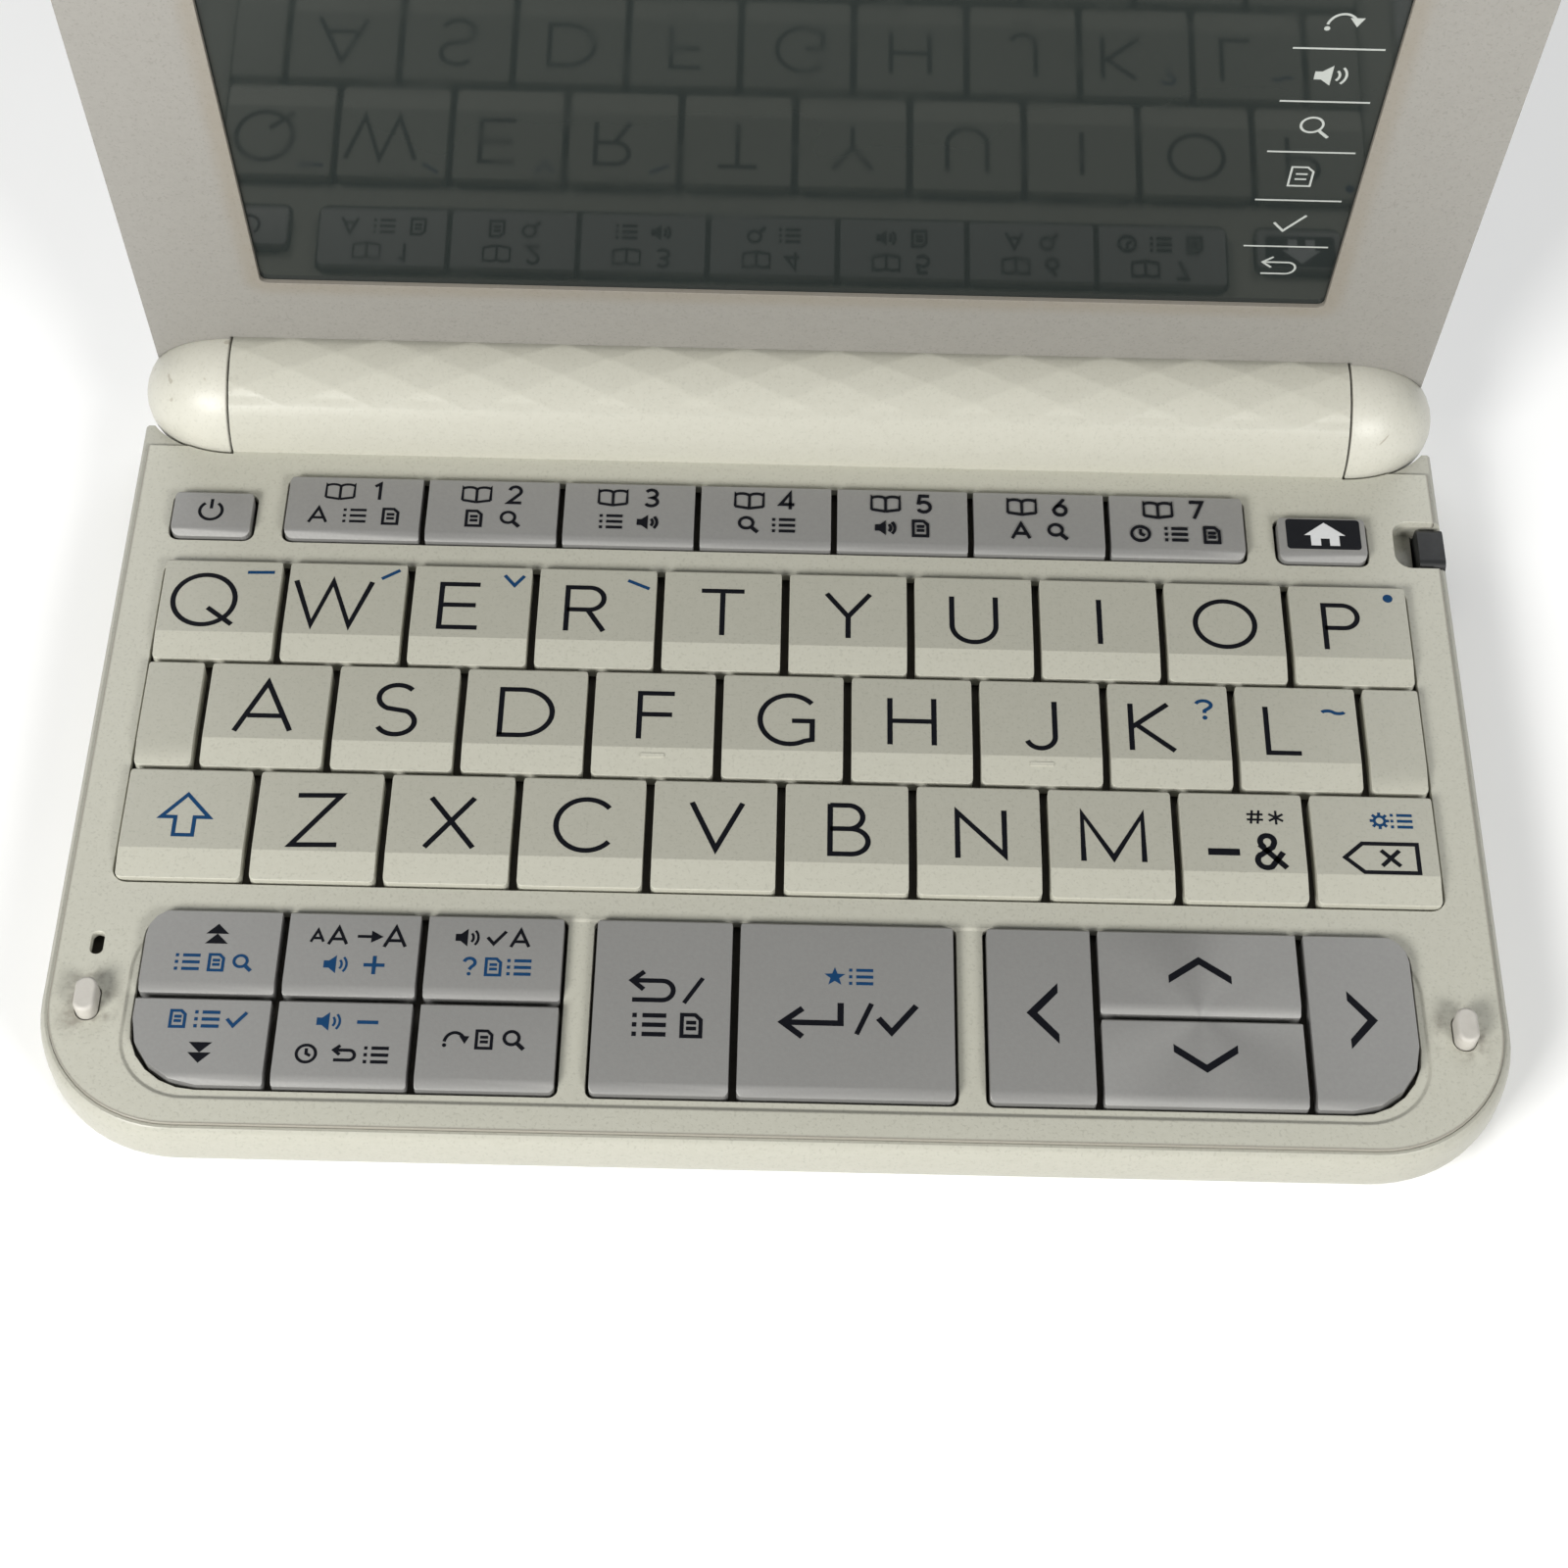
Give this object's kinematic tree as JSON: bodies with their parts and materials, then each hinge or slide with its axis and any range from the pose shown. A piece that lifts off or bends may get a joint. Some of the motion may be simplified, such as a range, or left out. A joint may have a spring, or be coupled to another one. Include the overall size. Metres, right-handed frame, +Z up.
{
  "type": "clamshell electronic dictionary",
  "caption": "Clamshell electronic dictionary standing open: letter keyboard, silver function keys, battery barrel hinge, touch screen lid and side stylus.",
  "frame": {"origin": "middle of the bounding box on the table plane, with the lid standing open as drawn", "axes": "+X to the right across the width, +Y from the front edge to the hinge, +Z up"},
  "size_m": [0.148, 0.1027, 0.103],
  "materials": {
    "case_plastic": "satin moulded plastic with a fine pearl fleck",
    "letter_keys": "satin moulded caps with printed letters",
    "silver_keys": "silver paint over moulded plastic caps",
    "lid_plastic": "pearl painted plastic",
    "bezel_plastic": "satin grey-ivory plastic",
    "screen_glass": "glossy touch glass over a dark display",
    "display_frame": "thin pressed frame",
    "dark_rubber": "moulded silicone sheet",
    "pad_rubber": "soft pale rubber",
    "stylus_plastic": "dark moulded plastic",
    "cell_jacket": "plain wrapped metal can",
    "contact_metal": "plated steel",
    "board": "solder mask over glass fibre",
    "speaker_frame": "pressed frame and paper cone"
  },
  "bodies": {
    "base": {"lower_case": "case_plastic", "upper_case": "case_plastic", "hinge_barrel": "case_plastic", "battery_cells": "cell_jacket", "battery_contacts": "contact_metal", "main_board": "board", "key_mat": "dark_rubber", "speaker": "speaker_frame", "rubber_pads": "pad_rubber", "case_screws": "contact_metal", "blank_caps": "letter_keys"},
    "lid": {"lid_back": "lid_plastic", "lid_bezel": "bezel_plastic", "touch_screen": "screen_glass", "lcd_module": "display_frame", "hinge_caps": "case_plastic", "hinge_shafts": "contact_metal"},
    "battery_cover_body": {"battery_cover": "case_plastic"},
    "stylus_body": {"stylus": "stylus_plastic"},
    "key_q_body": {"key_q": "letter_keys"},
    "key_w_body": {"key_w": "letter_keys"},
    "key_e_body": {"key_e": "letter_keys"},
    "key_r_body": {"key_r": "letter_keys"},
    "key_t_body": {"key_t": "letter_keys"},
    "key_y_body": {"key_y": "letter_keys"},
    "key_u_body": {"key_u": "letter_keys"},
    "key_i_body": {"key_i": "letter_keys"},
    "key_o_body": {"key_o": "letter_keys"},
    "key_p_body": {"key_p": "letter_keys"},
    "key_a_body": {"key_a": "letter_keys"},
    "key_s_body": {"key_s": "letter_keys"},
    "key_d_body": {"key_d": "letter_keys"},
    "key_f_body": {"key_f": "letter_keys"},
    "key_g_body": {"key_g": "letter_keys"},
    "key_h_body": {"key_h": "letter_keys"},
    "key_j_body": {"key_j": "letter_keys"},
    "key_k_body": {"key_k": "letter_keys"},
    "key_l_body": {"key_l": "letter_keys"},
    "key_shift_body": {"key_shift": "letter_keys"},
    "key_z_body": {"key_z": "letter_keys"},
    "key_x_body": {"key_x": "letter_keys"},
    "key_c_body": {"key_c": "letter_keys"},
    "key_v_body": {"key_v": "letter_keys"},
    "key_b_body": {"key_b": "letter_keys"},
    "key_n_body": {"key_n": "letter_keys"},
    "key_m_body": {"key_m": "letter_keys"},
    "key_dash_body": {"key_dash": "letter_keys"},
    "key_delete_body": {"key_delete": "letter_keys"},
    "key_power_body": {"key_power": "silver_keys"},
    "key_home_body": {"key_home": "silver_keys"},
    "key_back_body": {"key_back": "silver_keys"},
    "key_enter_body": {"key_enter": "silver_keys"},
    "key_left_body": {"key_left": "silver_keys"},
    "key_right_body": {"key_right": "silver_keys"},
    "key_up_body": {"key_up": "silver_keys"},
    "key_down_body": {"key_down": "silver_keys"},
    "function_keys_left_body": {"function_keys_left": "silver_keys"},
    "function_keys_middle_body": {"function_keys_middle": "silver_keys"},
    "function_keys_right_body": {"function_keys_right": "silver_keys"},
    "dictionary_keys_body": {"dictionary_keys": "silver_keys"}
  },
  "joints": [
    {"name": "lid_hinge", "type": "hinge", "parent": "base", "child": "lid", "pos_m": [0, 0.04295, 0.0088], "axis": [-1, 0, 0], "range_deg": [-84, 70]},
    {"name": "stylus_slide", "type": "slide", "parent": "base", "child": "stylus_body", "axis": [1, 0, 0], "range_m": [0, 0.09]},
    {"name": "battery_cover_slide", "type": "slide", "parent": "base", "child": "battery_cover_body", "axis": [0, 1, 0], "range_m": [0, 0.02]},
    {"name": "key_q_press", "type": "slide", "parent": "base", "child": "key_q_body", "axis": [0, 0, -1], "range_m": [0, 0.0008], "stiffness_N_per_m": 600},
    {"name": "key_w_press", "type": "slide", "parent": "base", "child": "key_w_body", "axis": [0, 0, -1], "range_m": [0, 0.0008], "stiffness_N_per_m": 600},
    {"name": "key_e_press", "type": "slide", "parent": "base", "child": "key_e_body", "axis": [0, 0, -1], "range_m": [0, 0.0008], "stiffness_N_per_m": 600},
    {"name": "key_r_press", "type": "slide", "parent": "base", "child": "key_r_body", "axis": [0, 0, -1], "range_m": [0, 0.0008], "stiffness_N_per_m": 600},
    {"name": "key_t_press", "type": "slide", "parent": "base", "child": "key_t_body", "axis": [0, 0, -1], "range_m": [0, 0.0008], "stiffness_N_per_m": 600},
    {"name": "key_y_press", "type": "slide", "parent": "base", "child": "key_y_body", "axis": [0, 0, -1], "range_m": [0, 0.0008], "stiffness_N_per_m": 600},
    {"name": "key_u_press", "type": "slide", "parent": "base", "child": "key_u_body", "axis": [0, 0, -1], "range_m": [0, 0.0008], "stiffness_N_per_m": 600},
    {"name": "key_i_press", "type": "slide", "parent": "base", "child": "key_i_body", "axis": [0, 0, -1], "range_m": [0, 0.0008], "stiffness_N_per_m": 600},
    {"name": "key_o_press", "type": "slide", "parent": "base", "child": "key_o_body", "axis": [0, 0, -1], "range_m": [0, 0.0008], "stiffness_N_per_m": 600},
    {"name": "key_p_press", "type": "slide", "parent": "base", "child": "key_p_body", "axis": [0, 0, -1], "range_m": [0, 0.0008], "stiffness_N_per_m": 600},
    {"name": "key_a_press", "type": "slide", "parent": "base", "child": "key_a_body", "axis": [0, 0, -1], "range_m": [0, 0.0008], "stiffness_N_per_m": 600},
    {"name": "key_s_press", "type": "slide", "parent": "base", "child": "key_s_body", "axis": [0, 0, -1], "range_m": [0, 0.0008], "stiffness_N_per_m": 600},
    {"name": "key_d_press", "type": "slide", "parent": "base", "child": "key_d_body", "axis": [0, 0, -1], "range_m": [0, 0.0008], "stiffness_N_per_m": 600},
    {"name": "key_f_press", "type": "slide", "parent": "base", "child": "key_f_body", "axis": [0, 0, -1], "range_m": [0, 0.0008], "stiffness_N_per_m": 600},
    {"name": "key_g_press", "type": "slide", "parent": "base", "child": "key_g_body", "axis": [0, 0, -1], "range_m": [0, 0.0008], "stiffness_N_per_m": 600},
    {"name": "key_h_press", "type": "slide", "parent": "base", "child": "key_h_body", "axis": [0, 0, -1], "range_m": [0, 0.0008], "stiffness_N_per_m": 600},
    {"name": "key_j_press", "type": "slide", "parent": "base", "child": "key_j_body", "axis": [0, 0, -1], "range_m": [0, 0.0008], "stiffness_N_per_m": 600},
    {"name": "key_k_press", "type": "slide", "parent": "base", "child": "key_k_body", "axis": [0, 0, -1], "range_m": [0, 0.0008], "stiffness_N_per_m": 600},
    {"name": "key_l_press", "type": "slide", "parent": "base", "child": "key_l_body", "axis": [0, 0, -1], "range_m": [0, 0.0008], "stiffness_N_per_m": 600},
    {"name": "key_shift_press", "type": "slide", "parent": "base", "child": "key_shift_body", "axis": [0, 0, -1], "range_m": [0, 0.0008], "stiffness_N_per_m": 600},
    {"name": "key_z_press", "type": "slide", "parent": "base", "child": "key_z_body", "axis": [0, 0, -1], "range_m": [0, 0.0008], "stiffness_N_per_m": 600},
    {"name": "key_x_press", "type": "slide", "parent": "base", "child": "key_x_body", "axis": [0, 0, -1], "range_m": [0, 0.0008], "stiffness_N_per_m": 600},
    {"name": "key_c_press", "type": "slide", "parent": "base", "child": "key_c_body", "axis": [0, 0, -1], "range_m": [0, 0.0008], "stiffness_N_per_m": 600},
    {"name": "key_v_press", "type": "slide", "parent": "base", "child": "key_v_body", "axis": [0, 0, -1], "range_m": [0, 0.0008], "stiffness_N_per_m": 600},
    {"name": "key_b_press", "type": "slide", "parent": "base", "child": "key_b_body", "axis": [0, 0, -1], "range_m": [0, 0.0008], "stiffness_N_per_m": 600},
    {"name": "key_n_press", "type": "slide", "parent": "base", "child": "key_n_body", "axis": [0, 0, -1], "range_m": [0, 0.0008], "stiffness_N_per_m": 600},
    {"name": "key_m_press", "type": "slide", "parent": "base", "child": "key_m_body", "axis": [0, 0, -1], "range_m": [0, 0.0008], "stiffness_N_per_m": 600},
    {"name": "key_dash_press", "type": "slide", "parent": "base", "child": "key_dash_body", "axis": [0, 0, -1], "range_m": [0, 0.0008], "stiffness_N_per_m": 600},
    {"name": "key_delete_press", "type": "slide", "parent": "base", "child": "key_delete_body", "axis": [0, 0, -1], "range_m": [0, 0.0008], "stiffness_N_per_m": 600},
    {"name": "key_power_press", "type": "slide", "parent": "base", "child": "key_power_body", "axis": [0, 0, -1], "range_m": [0, 0.0006], "stiffness_N_per_m": 600},
    {"name": "key_home_press", "type": "slide", "parent": "base", "child": "key_home_body", "axis": [0, 0, -1], "range_m": [0, 0.0006], "stiffness_N_per_m": 600},
    {"name": "key_back_press", "type": "slide", "parent": "base", "child": "key_back_body", "axis": [0, 0, -1], "range_m": [0, 0.0008], "stiffness_N_per_m": 600},
    {"name": "key_enter_press", "type": "slide", "parent": "base", "child": "key_enter_body", "axis": [0, 0, -1], "range_m": [0, 0.0008], "stiffness_N_per_m": 600},
    {"name": "key_left_press", "type": "slide", "parent": "base", "child": "key_left_body", "axis": [0, 0, -1], "range_m": [0, 0.0008], "stiffness_N_per_m": 600},
    {"name": "key_right_press", "type": "slide", "parent": "base", "child": "key_right_body", "axis": [0, 0, -1], "range_m": [0, 0.0008], "stiffness_N_per_m": 600},
    {"name": "key_up_press", "type": "slide", "parent": "base", "child": "key_up_body", "axis": [0, 0, -1], "range_m": [0, 0.0008], "stiffness_N_per_m": 600},
    {"name": "key_down_press", "type": "slide", "parent": "base", "child": "key_down_body", "axis": [0, 0, -1], "range_m": [0, 0.0008], "stiffness_N_per_m": 600},
    {"name": "function_keys_left_press", "type": "slide", "parent": "base", "child": "function_keys_left_body", "axis": [0, 0, -1], "range_m": [0, 0.0008], "stiffness_N_per_m": 1200},
    {"name": "function_keys_middle_press", "type": "slide", "parent": "base", "child": "function_keys_middle_body", "axis": [0, 0, -1], "range_m": [0, 0.0008], "stiffness_N_per_m": 1200},
    {"name": "function_keys_right_press", "type": "slide", "parent": "base", "child": "function_keys_right_body", "axis": [0, 0, -1], "range_m": [0, 0.0008], "stiffness_N_per_m": 1200},
    {"name": "dictionary_keys_press", "type": "slide", "parent": "base", "child": "dictionary_keys_body", "axis": [0, 0, -1], "range_m": [0, 0.0006], "stiffness_N_per_m": 2000}
  ]
}
